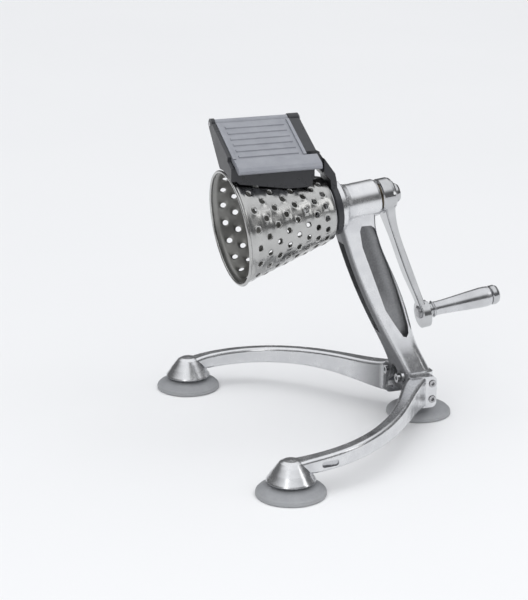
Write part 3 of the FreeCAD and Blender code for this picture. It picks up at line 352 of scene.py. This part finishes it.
def make_cone_skin():
    """The cone's sheet with its rows of punched teeth and its flat end plate."""
    rows = TEETH_ALONG * CELLS
    columns = TEETH_AROUND * CELLS
    step = (CONE_MOUTH - CONE_BACK + 2 * END_MARGIN) / rows
    slope = (CONE_LARGE - CONE_SMALL) / (CONE_BACK - CONE_MOUTH)
    tilt = math.atan(slope)
    mesh = bmesh.new()
    grid, gone = [], set()
    for row in range(rows + 1):
        line = []
        base = CONE_BACK - END_MARGIN + step * row
        for column in range(columns):
            band = min(row // CELLS, TEETH_ALONG - 1)
            shift = (CELLS // 2) * (band % 2)
            i = (column - shift) % CELLS - CELLS // 2
            j = row - band * CELLS - CELLS // 2
            radius = CONE_SMALL + slope * (CONE_BACK - base)
            cell = 2 * math.pi * radius / columns
            angle = 2 * math.pi * column / columns
            along, lift = base, 0.0
            if max(abs(i), abs(j)) <= LIP_CELLS:
                u, v, lift = tooth_shift(i, j, cell, abs(step))
                angle += (u - i * cell) / radius
                along = base - (v - j * abs(step))
            if max(abs(i), abs(j)) < HOLE_CELLS:
                gone.add((row, column))
            radius = CONE_SMALL + slope * (CONE_BACK - along) + lift * math.cos(tilt)
            along += lift * math.sin(tilt)
            spot = Vector((radius * math.cos(angle), radius * math.sin(angle), along))
            line.append(mesh.verts.new(spot * MM))
        grid.append(line)
    grid.append(ring_at(mesh, CONE_LARGE, CONE_MOUTH, columns))
    for radius, along in END_PLATE:
        grid.insert(0, ring_at(mesh, radius, along, columns))
    for row in range(len(grid) - 1):
        for column in range(columns):
            after = (column + 1) % columns
            sheet_row = row - len(END_PLATE)
            ends = {(sheet_row + a, b) for a in (0, 1) for b in (column, after)}
            if ends & gone:
                continue
            mesh.faces.new(
                (grid[row][column], grid[row][after], grid[row + 1][after], grid[row + 1][column])
            )
    loose = [v for v in mesh.verts if not v.link_faces]
    bmesh.ops.delete(mesh, geom=loose, context="VERTS")
    skin = as_object(mesh, "cone_skin")
    wall = skin.modifiers.new("wall", "SOLIDIFY")
    wall.thickness = SHEET * MM
    wall.offset = -1
    # Painted shade: the inner faces take the darker inside material.
    wall.material_offset = 1
    return skin


def make_rim():
    """Rolled bead round the cone's mouth."""
    mesh = bmesh.new()
    around, about = 180, 14
    loops = []
    for step in range(around):
        angle = 2 * math.pi * step / around
        loop = []
        for turn in range(about):
            roll = 2 * math.pi * turn / about
            radius = CONE_LARGE + RIM_OUT + RIM_RADIUS * math.cos(roll)
            along = CONE_MOUTH - RIM_BACK + RIM_RADIUS * math.sin(roll)
            spot = Vector((radius * math.cos(angle), radius * math.sin(angle), along))
            loop.append(mesh.verts.new(spot * MM))
        loops.append(loop)
    for step in range(around):
        here, there = loops[step], loops[(step + 1) % around]
        for turn in range(about):
            after = (turn + 1) % about
            mesh.faces.new((here[turn], there[turn], there[after], here[after]))
    return as_object(mesh, "cone_rim")


cone_skin = make_cone_skin()
cone_rim = make_rim()
for piece in (cone_skin, cone_rim):
    piece.matrix_world = SHAFT_FRAME
    piece.data.materials.append(MATERIALS["spun_steel"])
    piece.data.materials.append(MATERIALS["spun_inside_shaded"])
    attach(piece, "cone_set")
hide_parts("cone")

# Cast, moulded and pressed parts have broken edges.
for names, width, limit in (
    (("stand_column", "leg_near", "leg_far"), 1.1, 32),
    (("hopper", "guard_lid"), 0.45, 40),
    (("crank_arm",), 0.7, 40),
):
    for name in names:
        soft = NODES[name].modifiers.new("broken_edges", "BEVEL")
        soft.width = width * MM
        soft.segments = 2
        soft.limit_method = "ANGLE"
        soft.angle_limit = math.radians(limit)
        soft.harden_normals = True


# ---------------------------------------------------------- floor, light, camera
# The studio's glow at its walls and ceiling, and the two heights between which it changes.
STUDIO_GLOW = (0.16, 1.10)
CEILING_EDGE = (0.42, 0.80)


def make_floor():
    mesh = bpy.data.meshes.new("floor")
    grid = bmesh.new()
    bmesh.ops.create_grid(grid, x_segments=2, y_segments=2, size=14)
    grid.to_mesh(mesh)
    grid.free()
    floor = bpy.data.objects.new("floor", mesh)
    bpy.context.scene.collection.objects.link(floor)
    t = Tree("floor_paper")
    cloud = t.noise(1.5, 3, 0.5)
    color = t.ramp(cloud, 0.3, 0.7, (0.84, 0.845, 0.855), (0.852, 0.857, 0.866))
    mesh.materials.append(t.finish(color, 0.55, None, Specular_IOR_Level=0.15))
    floor.location.z = -0.0004


def add_area(name, place, aim, size, watts):
    data = bpy.data.lights.new(name, "AREA")
    data.shape = "RECTANGLE"
    data.size, data.size_y = size
    data.energy = watts
    lamp = bpy.data.objects.new(name, data)
    lamp.location = place
    lamp.rotation_mode = "QUATERNION"
    lamp.rotation_quaternion = (Vector(aim) - Vector(place)).to_track_quat("-Z", "Y")
    bpy.context.scene.collection.objects.link(lamp)


def make_world():
    """A studio with a broad bright ceiling and dim walls, which the metal reflects as bands."""
    world = bpy.data.worlds.new("studio")
    bpy.context.scene.world = world
    world.use_nodes = True
    nodes, links = world.node_tree.nodes, world.node_tree.links
    direction = nodes.new("ShaderNodeTexCoord")
    height = nodes.new("ShaderNodeSeparateXYZ")
    ceiling = nodes.new("ShaderNodeMapRange")
    ceiling.interpolation_type = "SMOOTHSTEP"
    for name, value in zip(("From Min", "From Max", "To Min", "To Max"), (*CEILING_EDGE, *STUDIO_GLOW)):
        ceiling.inputs[name].default_value = value
    background = nodes["Background"]
    background.inputs["Color"].default_value = (0.95, 0.96, 0.98, 1)
    links.new(direction.outputs["Generated"], height.inputs[0])
    links.new(height.outputs["Z"], ceiling.inputs["Value"])
    links.new(ceiling.outputs["Result"], background.inputs["Strength"])


def make_camera():
    data = bpy.data.cameras.new("camera")
    data.sensor_width = 36
    data.lens = 108
    camera = bpy.data.objects.new("camera", data)
    camera.location = (-0.652, -1.534, 0.633)
    turn, dip = math.radians(20), math.radians(17)
    look = Vector((math.sin(turn) * math.cos(dip), math.cos(turn) * math.cos(dip), -math.sin(dip)))
    camera.rotation_mode = "QUATERNION"
    camera.rotation_quaternion = look.to_track_quat("-Z", "Y")
    bpy.context.scene.collection.objects.link(camera)
    bpy.context.scene.camera = camera


def add_sun(name, aim, strength, spread):
    data = bpy.data.lights.new(name, "SUN")
    data.energy = strength
    data.angle = math.radians(spread)
    lamp = bpy.data.objects.new(name, data)
    lamp.rotation_mode = "QUATERNION"
    lamp.rotation_quaternion = Vector(aim).to_track_quat("-Z", "Y")
    lamp.visible_glossy = False
    bpy.context.scene.collection.objects.link(lamp)


make_floor()
make_world()
add_sun("sky", (0.15, 0.5, -1), 1.28, 96)
add_area("left_softbox", (-1.2, -1.3, 1.0), (0, 0, 0.18), (0.5, 1.0), 2.6)
add_area("right_softbox", (1.3, -1.0, 0.9), (0, 0, 0.15), (0.4, 1.0), 2.0)
make_camera()
bpy.context.scene.view_settings.view_transform = "Standard"
